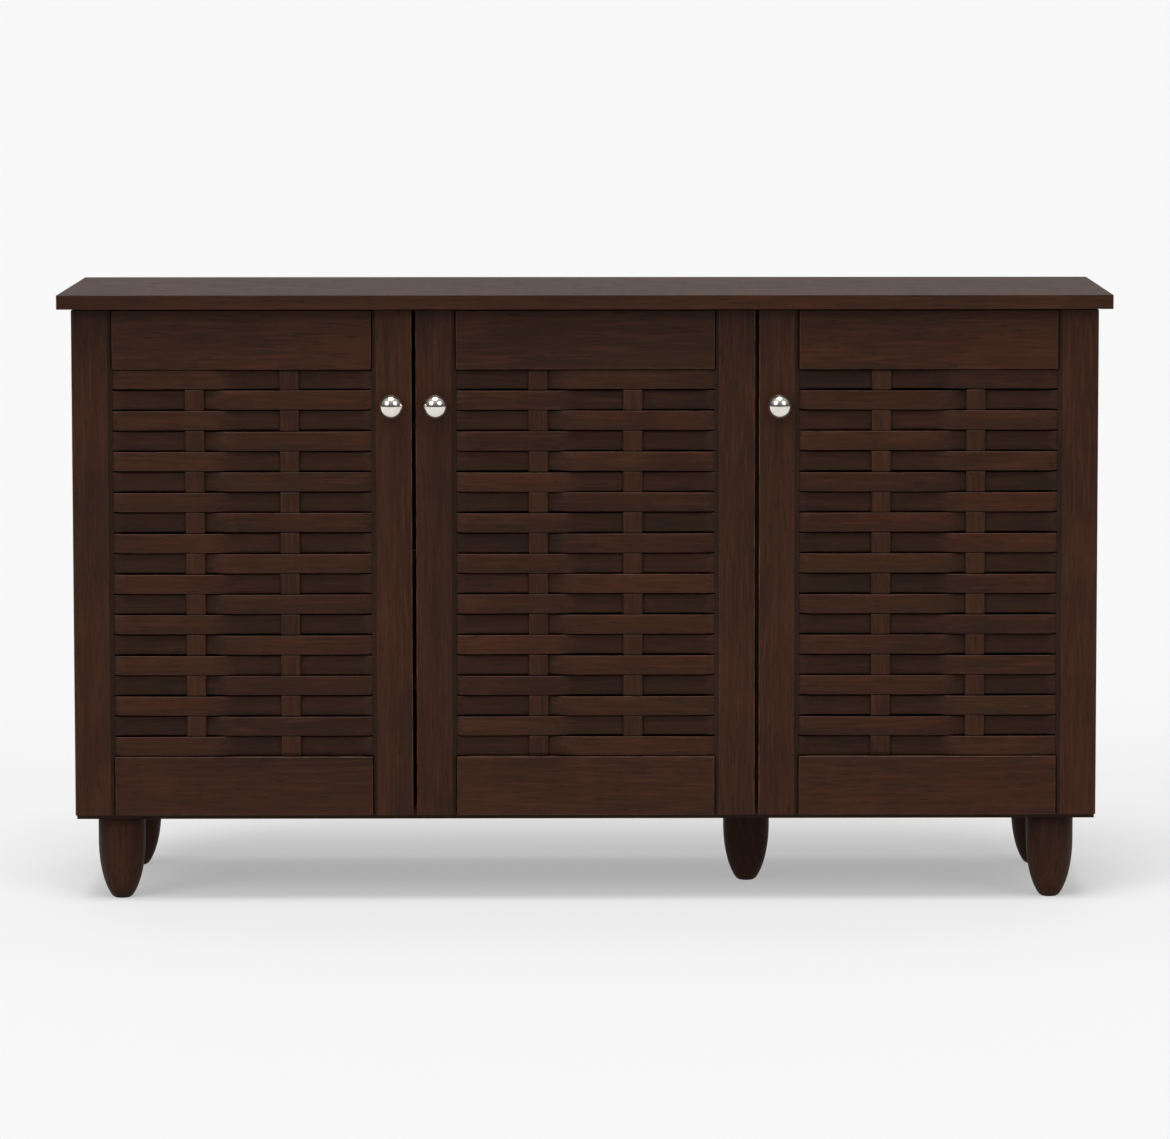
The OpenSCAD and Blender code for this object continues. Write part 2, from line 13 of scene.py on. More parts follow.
import bpy
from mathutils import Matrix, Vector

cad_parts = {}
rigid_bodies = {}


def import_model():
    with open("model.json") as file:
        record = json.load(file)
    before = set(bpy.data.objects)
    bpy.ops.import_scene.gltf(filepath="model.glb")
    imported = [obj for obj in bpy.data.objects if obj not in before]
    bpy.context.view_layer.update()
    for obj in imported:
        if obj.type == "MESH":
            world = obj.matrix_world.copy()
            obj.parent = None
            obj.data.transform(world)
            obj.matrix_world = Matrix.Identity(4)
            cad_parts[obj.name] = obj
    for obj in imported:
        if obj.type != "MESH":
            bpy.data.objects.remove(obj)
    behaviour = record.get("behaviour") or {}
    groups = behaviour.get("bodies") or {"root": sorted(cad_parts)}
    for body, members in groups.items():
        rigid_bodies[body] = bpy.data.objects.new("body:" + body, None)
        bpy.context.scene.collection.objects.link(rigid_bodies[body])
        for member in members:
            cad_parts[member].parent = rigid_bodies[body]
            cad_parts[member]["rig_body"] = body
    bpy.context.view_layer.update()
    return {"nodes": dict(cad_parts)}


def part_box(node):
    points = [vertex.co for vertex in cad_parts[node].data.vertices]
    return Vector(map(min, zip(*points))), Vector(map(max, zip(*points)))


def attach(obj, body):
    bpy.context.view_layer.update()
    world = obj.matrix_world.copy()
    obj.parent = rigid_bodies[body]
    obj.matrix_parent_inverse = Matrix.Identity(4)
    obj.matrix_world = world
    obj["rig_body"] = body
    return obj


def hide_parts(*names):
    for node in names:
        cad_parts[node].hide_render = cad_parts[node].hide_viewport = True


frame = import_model()

MM = 0.001
DOORS = ("left", "middle", "right")
LEGS = ("front_left_leg", "front_right_leg", "rear_left_leg", "rear_right_leg", "centre_leg")
LAST_SEED = 40.0               # seeds of the grain run from 0 to this
SEED_MOVE = (0.37, 0.61, 0.83)  # how far a seed of 1 moves the grain, along and across it

# Boards and fittings
BOARD_EASE = 1.0 * MM          # rounding of the edges of boards and door frames
BOARD_ANGLE = math.radians(20)  # only edges sharper than this are rounded
METAL_EASE = 0.25 * MM         # the same for stamped fittings
METAL_ANGLE = math.radians(40)
EASE_SEGMENTS = 2
WELD_GAP = 0.005 * MM
PLANAR = math.radians(0.5)     # faces that differ by less are merged

# Cross slats
SLAT_ROWS = 19
SLAT_LIFT = 2.3 * MM           # how far a cross slat bends forward or back at an upright
SLAT_SWING = 17 * MM           # half length of its swing from front to back
SLAT_DRIFT = (20 * MM, 27 * MM)  # least and largest shift of that swing
SLAT_RUN_IN = 13 * MM          # length over which it eases into the groove of a stile
SLAT_END = 6 * MM              # length of its end in the groove
SLAT_EASE = 0.8 * MM           # rounding of the long edges of all slats
SLAT_CROWN = 0.3 * MM          # how far its middle stands out, as it is cupped
SLAT_BOW = 0.45 * MM           # largest bow, up or down
SLAT_SLOPE = 0.25 * MM         # largest rise of one end over the other, halved
SLAT_LEAN = 0.01               # largest lean, forward or back, as a slope
SLAT_STEP = 3 * MM             # distance of its rings

# Upright slats
UPRIGHT_WIDTH = 22 * MM
UPRIGHT_OUT = 1.9 * MM         # how far an upright bends forward between two cross slats
UPRIGHT_IN = 0.1 * MM          # how far it bends back behind one
UPRIGHT_SHOWN = 10.6 * MM      # half height of the stretch that is all the way forward
UPRIGHT_HIDDEN = 13.3 * MM     # half height at which it is all the way back
UPRIGHT_END = (6 * MM, 12 * MM)  # flat up to the first distance from an end, free at the second
UPRIGHT_STEP = 1.2 * MM        # distance of its rings

# Legs
LEG_STRAIGHT = 28 * MM         # upper stretch without taper
LEG_TOP_EASE = 0.8 * MM
LEG_SEGMENTS = 96
TAPER_STEPS = 32
FOOT_RADIUS = 10 * MM
FOOT_EASE = 1.6 * MM
FOOT_STEPS = 5

# Knobs
KNOB_BASE = (                  # flange and neck from the door outward: radius, height in mm
    (8.0, 0.0), (8.0, 1.0), (7.7, 1.4), (7.0, 1.7),
    (6.0, 2.4), (5.3, 3.6), (5.0, 5.2), (5.0, 6.6),
)
KNOB_FLARE = 4.4 * MM          # height over which the neck flares into the head
KNOB_LIP = 1.2 * MM            # how far inside the widest place the flare ends
KNOB_RIM = ((0.5, 11.3), (0.1, 11.8))  # rounded rim of the head: depth inside, height in mm
KNOB_TIP = 0.3 * MM            # radius of the small flat on top
KNOB_FLAT = 0.01 * MM          # how far this flat lies below the end of the dome
KNOB_SEGMENTS = 80
FLARE_STEPS = 9
DOME_STEPS = 24


def colour(red, green, blue):
    """An opaque colour in linear light."""
    return (red, green, blue, 1.0)


def grey(level):
    """An opaque neutral colour in linear light."""
    return colour(level, level, level)


# Stained wood, with the colours of its painted shade and painted highlight
WOOD_COLOURS = {
    "dark": colour(0.0210, 0.0070, 0.0027),
    "mid": colour(0.0365, 0.0120, 0.0044),
    "warm": colour(0.0570, 0.0172, 0.0064),
    "red": colour(0.0560, 0.0112, 0.0048),
    "olive": colour(0.0295, 0.0138, 0.0046),
    "edge": colour(0.140, 0.070, 0.040),   # lighter, where an edge has wear, and as painted highlight on edges
    "pore": colour(0.005, 0.002, 0.001),   # where stain gathers, and the colour of painted shade in creases, on bevels and on sunk slats
}
FIGURE = (1.8, 20, 20)         # marks per metre, along and across the grain
CAST = (4, 14, 14)
DASH = (16, 300, 300)
PORES = (42, 520, 520)
FIBRE = (45, 900, 900)
BLOTCH = 7                     # marks per metre both ways
# Patches along the lighter edges, which are partly wear and partly painted highlight, per metre
EDGE_PATCH_MARKS = 60
BEVEL_PAINTED_SHADE = 0.55             # how far a routed bevel is darkened, as painted shade
PORE_STAIN = 0.42              # how far a pore is darkened
RECESS_PAINTED_SHADE = 0.30            # how far the sunk stretch of a slat is darkened, as painted shade
CREASE_PAINTED_SHADE = 0.90            # how far a crease is darkened, as painted shade
LOT_STAIN = 0.26               # largest darkening of a whole board or slat
CREASE = 5 * MM                # reach of a crease
PORE_DEPTH = 0.12 * MM
FIBRE_HEIGHT = 0.35            # relief of the fibres, where that of the pores is 1
PORE_ROUGHNESS = 0.18          # what a pore adds to the roughness
DASH_ROUGHNESS = (-0.06, 0.07)  # what dashes add to it, least and most

# Squareness is 1 on the faces of a board and 0.7 in the middle of a rounded edge
ROUND_EDGE = (0.86, 0.76)      # where an edge starts to turn lighter, as wear and painted highlight, and is lighter in full
BEVEL_FACE = (0.86, 0.90, 0.012)  # face of a routed bevel: low, high, softness
BEVEL_ARRIS = (0.93, 0.985, 0.010)  # rounded edge between that bevel and a face

# Light
FLOOR_HALF = 900.0             # half the width of the floor
FLOOR_TONES = (0.335, 0.345)   # its speckle
FLOOR_GLOW = 0.385             # glow of the floor as the camera sees it
FLOOR_BOUNCE = 0.29            # glow of the floor as the cabinet sees it
ROOM_LIGHT = 0.10
CEILING_LIGHT = 0.60
BACKDROP_LIGHT = 0.52          # lit backdrop behind the cabinet, which the top panel mirrors
BACKDROP_TONE = 0.955          # the same as the camera sees it
LAMPS = (                      # name, azimuth (0 is the front), elevation, strength, spread
    ("key_left", -38, 30, 1.15, 28),
    ("key_right", 38, 30, 0.66, 28),
    ("top", -8, 72, 2.6, 30),
    ("back", 180, 72, 0.6, 40),
)

# Camera
CAMERA_PLACE = (0.0161, -6.263, 1.0841)
CAMERA_DIP = 0.09              # radians below the horizon
CAMERA_TURN = 0.01             # radians to the right
CAMERA_SENSOR = 36.0
CAMERA_LENS = 165.5
CAMERA_SHIFT = (-0.0583, -0.1100)
CAMERA_REACH = 3000.0


# ---------------------------------------------------------------------------- meshes


def seed_of(name):
    """A number that belongs to a name, so that no two pieces show the same grain."""
    return random.Random(name).uniform(0.0, LAST_SEED)


def smoothstep(low, high, value):
    """0 below low, 1 above high and an S-curve in between."""
    part = min(1.0, max(0.0, (value - low) / (high - low)))
    return part * part * (3.0 - 2.0 * part)


def stations(start, end, step):
    """Evenly spaced places from start to end."""
    count = max(1, round((end - start) / step))
    return [start + (end - start) * i / count for i in range(count + 1)]


def quarter_turns(steps, first=0):
    """Angles in equal steps through a right angle, from step number first, without the last."""
    return [math.pi / 2 * step / steps for step in range(first, steps)]


def new_piece(name, vertices, faces, **vertex_values):
    """A smooth-shaded mesh object; vertex_values holds lists with one number per vertex."""
    mesh = bpy.data.meshes.new(name)
    mesh.from_pydata(vertices, [], faces)
    mesh.update()
    for key, values in vertex_values.items():
        mesh.attributes.new(key, "FLOAT", "POINT").data.foreach_set("value", values)
    mesh.shade_smooth()
    piece = bpy.data.objects.new(name, mesh)
    bpy.context.scene.collection.objects.link(piece)
    return piece


def rounded_section(width, thickness, radius, steps=3):
    """Outline of a flat bar with rounded corners, as (across, through) pairs."""
    outline = []
    for corner, (side, face) in enumerate(((1, 1), (-1, 1), (-1, -1), (1, -1))):
        for step in range(steps + 1):
            angle = math.pi / 2 * (corner + step / steps)
            outline.append((
                side * (width / 2 - radius) + radius * math.cos(angle),
                face * (thickness / 2 - radius) + radius * math.sin(angle),
            ))
    return outline


def sweep(rings):
    """Vertices and faces of a closed bar through equal rings, with a cap at both ends."""
    count = len(rings[0])
    vertices = [point for ring in rings for point in ring]
    faces = []
    for ring in range(len(rings) - 1):
        for i in range(count):
            j = (i + 1) % count
            low = ring * count
            high = low + count
            faces.append((low + i, low + j, high + j, high + i))
    last = (len(rings) - 1) * count
    faces.append(tuple(reversed(range(count))))
    faces.append(tuple(range(last, last + count)))
    return vertices, faces


def lathe(outline, centre, axis, segments):
    """Vertices and faces of a turned shape. outline holds (radius, distance along axis)."""
    rings = []
    for radius, along in outline:
        ring = []
        for step in range(segments):
            angle = 2 * math.pi * step / segments
            a = radius * math.cos(angle)
            b = radius * math.sin(angle)
            if axis == "Z":
                ring.append((centre[0] + a, centre[1] + b, centre[2] + along))
            else:
                ring.append((centre[0] + a, centre[1] - along, centre[2] + b))
        rings.append(ring)
    return sweep(rings)


class Bars:
    """Closed bars gathered into one mesh, each with a grain of its own."""

    def __init__(self, draw):
        self.draw = draw
        self.vertices = []
        self.faces = []
        self.seeds = []

    def add(self, rings, reverse=False):
        """Adds a bar through equal rings. reverse is for rings that run the other way round."""
        vertices, faces = sweep(rings)
        base = len(self.vertices)
        for face in faces:
            order = reversed(face) if reverse else face
            self.faces.append(tuple(i + base for i in order))
        self.vertices += vertices
        self.seeds += [self.draw.uniform(0.0, LAST_SEED)] * len(vertices)

    def piece(self, name, **vertex_values):
        """The mesh object of all the bars."""
        return new_piece(name, self.vertices, self.faces, slat_seed=self.seeds, **vertex_values)


# ------------------------------------------------------------------------- woven panels


def weave_sizes(door):
    """The measures of one door's weave, read from its CAD nodes."""
    low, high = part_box(f"{door}_door_cross_slats")
    upright_low, upright_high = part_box(f"{door}_door_upright_slats")
    top_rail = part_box(f"{door}_door_top_rail")[0].z
    bottom_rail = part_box(f"{door}_door_bottom_rail")[1].z
    pitch = (top_rail - bottom_rail) / SLAT_ROWS
    gap = low.z - bottom_rail
    return {
        "left": low.x,
        "right": high.x,
        "middle": (low.x + high.x) / 2,
        "bottom": bottom_rail,
        "pitch": pitch,
        "slat_height": pitch - 2 * gap,
        "plane": (upright_low.y + upright_high.y) / 2,
        "thickness": upright_high.y - upright_low.y,
        "upright_low": upright_low.z,
        "upright_high": upright_high.z,
        "offset": (upright_high.x - upright_low.x - UPRIGHT_WIDTH) / 2,
        "opening": (high.x - low.x) / 2 - SLAT_END,
    }


def row_signs(door, row):
    """1 where the row passes in front of an upright, -1 where it passes behind: left, right."""
    over_left = (row % 2 == 0) == (door == "left")
    return (1, -1) if over_left else (-1, 1)


def slat_drift(door, row, draw):
    """Where a slat swings over, to the right of the middle. In one row the middle stretch
    stays forward for longer and in the next row back."""
    sunk_middle = (row % 2 == 0) != (door == "middle")
    towards_right = (row_signs(door, row)[0] < 0) == sunk_middle
    return (1 if towards_right else -1) * draw.uniform(*SLAT_DRIFT)


def slat_bend(across, signs, drift):
    """Bend of a cross slat at a place across the door: 1 is forward and -1 is back.
    Between the uprights it swings over, drift to the right of the middle."""
    swing = smoothstep(drift - SLAT_SWING, drift + SLAT_SWING, across)
    return signs[0] * (1.0 - swing) + signs[1] * swing


def run_in(across, half_span):
    """1 in the opening of the door, down to 0 where a slat enters the groove of a stile."""
    return 1.0 - smoothstep(half_span - SLAT_RUN_IN, half_span, abs(across))


def cup(up, lean, size):
    """How far a slat lies back at a height above its middle: its lean and its cupped face."""
    return lean * up - SLAT_CROWN * (1 - (2 * up / size["slat_height"]) ** 2)


def cross_slat(door, row, size, draw):
    """Rings of one cross slat, a little bowed, and how far back each ring is, from 0 to 1."""
    signs = row_signs(door, row)
    middle_z = size["bottom"] + (SLAT_ROWS - row - 0.5) * size["pitch"]
    bow = draw.uniform(-SLAT_BOW, SLAT_BOW)
    slope = draw.uniform(-SLAT_SLOPE, SLAT_SLOPE)
    lean = draw.uniform(-SLAT_LEAN, SLAT_LEAN)
    drift = slat_drift(door, row, draw)
    section = rounded_section(size["slat_height"], size["thickness"], SLAT_EASE)
    rings, recess = [], []
    for x in stations(size["left"], size["right"], SLAT_STEP):
        across = x - size["middle"]
        part = across / (size["right"] - size["middle"])
        bend = slat_bend(across, signs, drift)
        lift = SLAT_LIFT * bend * run_in(across, size["opening"])
        z = middle_z + bow * (1 - part * part) + slope * part
        free = 1 - part ** 4
        rings.append([
            (x, size["plane"] - lift - through + free * cup(up, lean, size), z + up)
            for up, through in section
        ])
        # How far back the ring lies; the wood darkens the sunk stretches by it, as painted
        # shade
        recess.append((1.0 - bend) / 2)
    return rings, recess


def cross_slats(door):
    """The cross slats of one door as one piece."""
    size = weave_sizes(door)
    bars = Bars(random.Random(f"{door} slats"))
    recess = []
    for row in range(SLAT_ROWS):
        rings, ring_recess = cross_slat(door, row, size, bars.draw)
        bars.add(rings)
        for ring, value in zip(rings, ring_recess):
            recess += [value] * len(ring)
    return bars.piece(f"{door}_door_woven_cross_slats", slat_recess=recess)


def upright_bend(signs, height_above_row, pitch):
    """Bend of an upright at a height measured from the middle of the nearest row."""
    distance = abs(height_above_row)
    if signs > 0:
        distance = pitch - distance
    swing = smoothstep(UPRIGHT_SHOWN, UPRIGHT_HIDDEN, distance)
    return UPRIGHT_OUT * (1.0 - swing) - UPRIGHT_IN * swing


def bend_at(door, side, z, size):
    """Bend of the left (0) or right (1) upright of a door at a height."""
    from_bottom = (z - size["bottom"]) / size["pitch"]
    if not 0.0 <= from_bottom <= SLAT_ROWS:
        return 0.0
    level = min(SLAT_ROWS - 1, math.floor(from_bottom))
    above = z - size["bottom"] - (level + 0.5) * size["pitch"]
    signs = row_signs(door, SLAT_ROWS - 1 - level)
    to_end = min(z - size["upright_low"], size["upright_high"] - z)
    return upright_bend(signs[side], above, size["pitch"]) * smoothstep(*UPRIGHT_END, to_end)


def upright_slats(door):
    """The two upright slats of one door, which bulge forward between the cross slats."""
    size = weave_sizes(door)
    bars = Bars(random.Random(f"{door} uprights"))
    section = rounded_section(UPRIGHT_WIDTH, size["thickness"], SLAT_EASE)
    for side in (0, 1):
        x = size["middle"] + (2 * side - 1) * size["offset"]
        rings = []
        for z in stations(size["upright_low"], size["upright_high"], UPRIGHT_STEP):
            front = size["plane"] - bend_at(door, side, z, size)
            rings.append([(x + across, front - through, z) for across, through in section])
        bars.add(rings, reverse=True)
    return bars.piece(f"{door}_door_woven_uprights")


# ----------------------------------------------------------------------- turned pieces


def leg_outline(top_radius, height):
    """Outline of a turned leg from the foot up: small flat foot, long taper, straight top."""
    taper = height - LEG_STRAIGHT
    axis = taper / math.sqrt(1 - (FOOT_RADIUS / top_radius) ** 2)
    outline = [(FOOT_RADIUS - FOOT_EASE, 0.0)]
    for angle in quarter_turns(FOOT_STEPS, first=1):
        outline.append((
            FOOT_RADIUS - FOOT_EASE * (1 - math.sin(angle)),
            FOOT_EASE * (1 - math.cos(angle)),
        ))
    for z in stations(FOOT_EASE, taper, (taper - FOOT_EASE) / TAPER_STEPS):
        outline.append((top_radius * math.sqrt(1 - ((taper - z) / axis) ** 2), z))
    outline.append((top_radius, height - LEG_TOP_EASE))
    outline.append((top_radius - 0.3 * LEG_TOP_EASE, height - 0.3 * LEG_TOP_EASE))
    outline.append((top_radius - LEG_TOP_EASE, height))
    return outline


def turned_leg(node):
    """A smooth leg in the place of a CAD leg."""
    low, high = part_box(node)
    centre = ((low.x + high.x) / 2, (low.y + high.y) / 2, low.z)
    outline = leg_outline((high.x - low.x) / 2, high.z - low.z)
    return new_piece(f"{node}_turned", *lathe(outline, centre, "Z", LEG_SEGMENTS))


def knob_outline(radius, length):
    """Outline of a knob from the door outward: flange, waisted neck, domed head."""
    outline = [(width * MM, height * MM) for width, height in KNOB_BASE]
    neck, neck_end = outline[-1]
    for angle in quarter_turns(FLARE_STEPS, first=1):
        outline.append((
            neck + (radius - KNOB_LIP - neck) * (1 - math.cos(angle)),
            neck_end + KNOB_FLARE * math.sin(angle),
        ))
    outline += [(radius - inside * MM, height * MM) for inside, height in KNOB_RIM]
    widest = length / 2
    for angle in quarter_turns(DOME_STEPS):
        outline.append((
            radius * math.cos(angle),
            widest + (length - widest) * math.sin(angle),
        ))
    outline.append((KNOB_TIP, length - KNOB_FLAT))
    return outline


def turned_knob(door):
    """A polished knob in the place of a CAD knob."""
    low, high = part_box(f"{door}_door_knob")
    centre = ((low.x + high.x) / 2, high.y, (low.z + high.z) / 2)
    outline = knob_outline((high.x - low.x) / 2, high.y - low.y)
    return new_piece(
        f"{door}_door_polished_knob", *lathe(outline, centre, "Y", KNOB_SEGMENTS)
    )


# ---------------------------------------------------------------------------- shaders


class Shader:
    """The node tree of a material or a world; each method adds to it and returns an output."""

    def __init__(self, owner):
        self.owner = owner
        owner.use_nodes = True
        self.tree = owner.node_tree
        self.tree.nodes.clear()

    def node(self, kind, inputs=None, **settings):
        """Adds a node; inputs maps socket names or numbers to links or values."""
        node = self.tree.nodes.new("ShaderNode" + kind)
        for key, value in settings.items():
            setattr(node, key, value)
        for key, value in (inputs or {}).items():
            if isinstance(value, bpy.types.NodeSocket):
                self.tree.links.new(value, node.inputs[key])
            else:
                node.inputs[key].default_value = value
        return node

    def maths(self, operation, a, b=0.0):
        """One scalar sum."""
        return self.node("Math", {0: a, 1: b}, operation=operation).outputs[0]

    def scaled(self, vector, factors):
        """A vector multiplied part by part."""
        node = self.node("VectorMath", {0: vector, 1: factors}, operation="MULTIPLY")
        return node.outputs[0]

    def noise(self, vector, scale=1.0, detail=2.0, roughness=0.5, distortion=0.0):
        """Fractal noise from 0 to 1."""
        return self.node("TexNoise", {
            "Vector": vector,
            "Scale": scale,
            "Detail": detail,
            "Roughness": roughness,
            "Distortion": distortion,
        }).outputs[0]

    def band(self, value, low, high, to_low=0.0, to_high=1.0):
        """Value from low to high brought smoothly to the range to_low to to_high."""
        return self.node("MapRange", {
            "Value": value,
            "From Min": low,
            "From Max": high,
            "To Min": to_low,
            "To Max": to_high,
        }, interpolation_type="SMOOTHSTEP").outputs[0]

    def between(self, value, low, high, soft):
        """1 where value lies between low and high, with soft ends."""
        rise = self.band(value, low - soft, low + soft)
        fall = self.band(value, high + soft, high - soft)
        return self.maths("MULTIPLY", rise, fall)

    def blend(self, factor, a, b):
        """Colour a turned into colour b by factor."""
        return self.node("Mix", {0: factor, 6: a, 7: b}, data_type="RGBA").outputs[2]

    def stained(self, tone, mark, low, high, most, stain):
        """Tone turned towards a stain as mark goes from low to high, at the end by most."""
        return self.blend(self.band(mark, low, high, 0.0, most), tone, WOOD_COLOURS[stain])

    def darkened(self, tone, mask, most):
        """Tone turned towards the pore stain by up to most, where mask is 1."""
        return self.blend(self.maths("MULTIPLY", mask, most), tone, WOOD_COLOURS["pore"])

    def bump(self, height, distance, strength):
        """A surface normal from a height between 0 and 1."""
        inputs = {"Height": height, "Distance": distance, "Strength": strength}
        return self.node("Bump", inputs).outputs[0]

    def place(self, along="X"):
        """Object coordinates with the grain along X, moved by the seeds of the piece."""
        parts = self.node("SeparateXYZ", {0: self.node("TexCoord").outputs["Object"]}).outputs
        order = {"X": "XYZ", "Z": "ZXY"}[along]
        turned = self.node("CombineXYZ", {i: parts[axis] for i, axis in enumerate(order)})
        seed = self.seed()
        same = self.node("CombineXYZ", {0: seed, 1: seed, 2: seed})
        shift = self.scaled(same.outputs[0], SEED_MOVE)
        moved = self.node("VectorMath", {0: turned.outputs[0], 1: shift}, operation="ADD")
        return moved.outputs[0]

    def vertex_value(self, name):
        """A number stored on the vertices of a piece, 0 where it has none."""
        node = self.node("Attribute", attribute_type="GEOMETRY", attribute_name=name)
        return node.outputs["Fac"]

    def seed(self):
        """The seed of the piece and of the slat."""
        own = self.node("Attribute", attribute_type="OBJECT", attribute_name="grain_seed")
        return self.maths("ADD", own.outputs["Fac"], self.vertex_value("slat_seed"))

    def lot(self):
        """One random number from 0 to 1 per piece or slat."""
        chance = self.node("TexWhiteNoise", {"W": self.seed()}, noise_dimensions="1D")
        return chance.outputs["Value"]

    def corner_light(self, reach):
        """1 on an open surface, towards 0 in a crease."""
        node = self.node("AmbientOcclusion", {"Distance": reach}, samples=6)
        return node.outputs["AO"]

    def squareness(self):
        """1 on the faces of a straight board, down to 0.7 in the middle of a rounded edge."""
        normal = self.node("TexCoord").outputs["Normal"]
        sides = self.node("VectorMath", {0: normal}, operation="ABSOLUTE").outputs[0]
        parts = self.node("SeparateXYZ", {0: sides}).outputs
        return self.maths("MAXIMUM", parts[0], self.maths("MAXIMUM", parts[1], parts[2]))

    def surface(self, tone, roughness, normal, **constants):
        """The Principled shader and the output; constants are set on its own sockets."""
        inputs = {"Base Color": tone, "Roughness": roughness, "Normal": normal}
        inputs.update({key.replace("_", " "): value for key, value in constants.items()})
        shader = self.node("BsdfPrincipled", inputs)
        self.node("OutputMaterial", {"Surface": shader.outputs[0]})
        return self.owner


def wood_tone(s, space, dash, fibre):
    """Colour of stained wood: broad figure, blotches, dashes, fibres, red and olive casts."""
    figure = s.noise(s.scaled(space, FIGURE), detail=4, roughness=0.6, distortion=0.5)
    blotch = s.noise(space, scale=BLOTCH, detail=4, roughness=0.6)
    cast = s.noise(s.scaled(space, CAST), detail=3, roughness=0.6)
    tone = s.blend(s.band(figure, 0.32, 0.68), WOOD_COLOURS["dark"], WOOD_COLOURS["mid"])
    tone = s.stained(tone, blotch, 0.45, 0.72, 0.50, "warm")
    tone = s.stained(tone, dash, 0.47, 0.72, 0.78, "warm")
    tone = s.stained(tone, dash, 0.48, 0.28, 0.55, "dark")
    tone = s.stained(tone, fibre, 0.35, 0.70, 0.25, "dark")
    tone = s.stained(tone, cast, 0.52, 0.74, 0.30, "red")
    return s.stained(tone, cast, 0.46, 0.28, 0.35, "olive")


def edge_tone(s, space, tone, edges_worn_and_lit, routed):
    """Colour with routed bevels darkened as painted shade and edges lighter, as wear and
    painted highlight.
    """
    square = s.squareness()
    # Rounded edges turn lighter: partly wear, partly painted highlight
    wear_and_highlight = s.band(square, *ROUND_EDGE)
    if routed:
        # Painted shade: the routed bevels are darkened; their arrises join the lighter edges
        tone = s.darkened(tone, s.between(square, *BEVEL_FACE), BEVEL_PAINTED_SHADE)
        wear_and_highlight = s.maths("MAXIMUM", wear_and_highlight, s.between(square, *BEVEL_ARRIS))
    if edges_worn_and_lit:
        edge_patches = s.noise(space, scale=EDGE_PATCH_MARKS, detail=3, roughness=0.7)
        wear_and_highlight = s.maths("MULTIPLY", wear_and_highlight, s.band(edge_patches, 0.35, 0.62, 0.10, 0.70))
        tone = s.blend(wear_and_highlight, tone, WOOD_COLOURS["edge"])
    return tone


def wood(name, along, edges_worn_and_lit=True, routed=True, gloss=0.46, sheen_level=0.14):
    """Stained open-pored wood with its grain along one axis. First flag: its rounded edges are
    lighter,
    as wear and painted highlight. routed: shallow bevels darkened as painted shade, arrises
    lighter too."""
    s = Shader(bpy.data.materials.new(name))
    space = s.place(along)
    dash = s.noise(s.scaled(space, DASH), detail=4, roughness=0.6)
    fibre = s.noise(s.scaled(space, FIBRE), detail=2)
    pores = s.band(s.noise(s.scaled(space, PORES), detail=1), 0.60, 0.68)
    tone = wood_tone(s, space, dash, fibre)
    tone = edge_tone(s, space, tone, edges_worn_and_lit, routed)
    tone = s.darkened(tone, pores, PORE_STAIN)
    # Painted shade: the sunk stretches of the cross slats are darkened
    tone = s.darkened(tone, s.vertex_value("slat_recess"), RECESS_PAINTED_SHADE)
    # Painted shade: darker in creases and in the gaps between parts, found by ambient occlusion
    tone = s.stained(tone, s.corner_light(CREASE), 0.85, 0.20, CREASE_PAINTED_SHADE, "pore")
    tone = s.darkened(tone, s.lot(), LOT_STAIN)
    sheen = s.band(dash, 0.3, 0.7, *(gloss + change for change in DASH_ROUGHNESS))
    rough = s.maths("ADD", sheen, s.maths("MULTIPLY", pores, PORE_ROUGHNESS))
    height = s.maths("SUBTRACT", s.maths("MULTIPLY", fibre, FIBRE_HEIGHT), pores)
    relief = s.bump(height, PORE_DEPTH, 0.5)
    return s.surface(tone, rough, relief, Specular_IOR_Level=sheen_level)


def chrome(name):
    """Polished nickel with faint smears and hairline scratches."""
    s = Shader(bpy.data.materials.new(name))
    space = s.place()
    smear = s.noise(space, scale=140, detail=4, roughness=0.6)
    hair = s.noise(s.scaled(space, (300, 5200, 900)), detail=2)
    tone = s.blend(s.band(smear, 0.35, 0.7), colour(0.90, 0.86, 0.77), colour(0.82, 0.77, 0.67))
    rough = s.band(smear, 0.3, 0.75, 0.05, 0.15)
    return s.surface(tone, rough, s.bump(hair, 0.01 * MM, 0.12), Metallic=1.0)


def plated_steel(name):
    """Stamped, zinc-plated steel with a drawn grain and small dull spots."""
    s = Shader(bpy.data.materials.new(name))
    space = s.place()
    grain = s.noise(s.scaled(space, (90, 1600, 1600)), detail=3)
    spots = s.noise(space, scale=420, detail=3, roughness=0.65)
    tone = s.blend(s.band(spots, 0.45, 0.7), colour(0.60, 0.59, 0.57), colour(0.42, 0.41, 0.40))
    rough = s.band(grain, 0.3, 0.7, 0.24, 0.42)
    return s.surface(tone, rough, s.bump(grain, 0.02 * MM, 0.2), Metallic=1.0)


def cast_zinc(name):
    """Dull cast zinc with a pebbled skin."""
    s = Shader(bpy.data.materials.new(name))
    space = s.place()
    skin = s.noise(space, scale=700, detail=4, roughness=0.6)
    cloud = s.noise(space, scale=120, detail=2)
    tone = s.blend(s.band(cloud, 0.35, 0.7), colour(0.46, 0.46, 0.47), colour(0.30, 0.30, 0.31))
    rough = s.band(skin, 0.3, 0.7, 0.42, 0.60)
    return s.surface(tone, rough, s.bump(skin, 0.05 * MM, 0.35), Metallic=1.0)


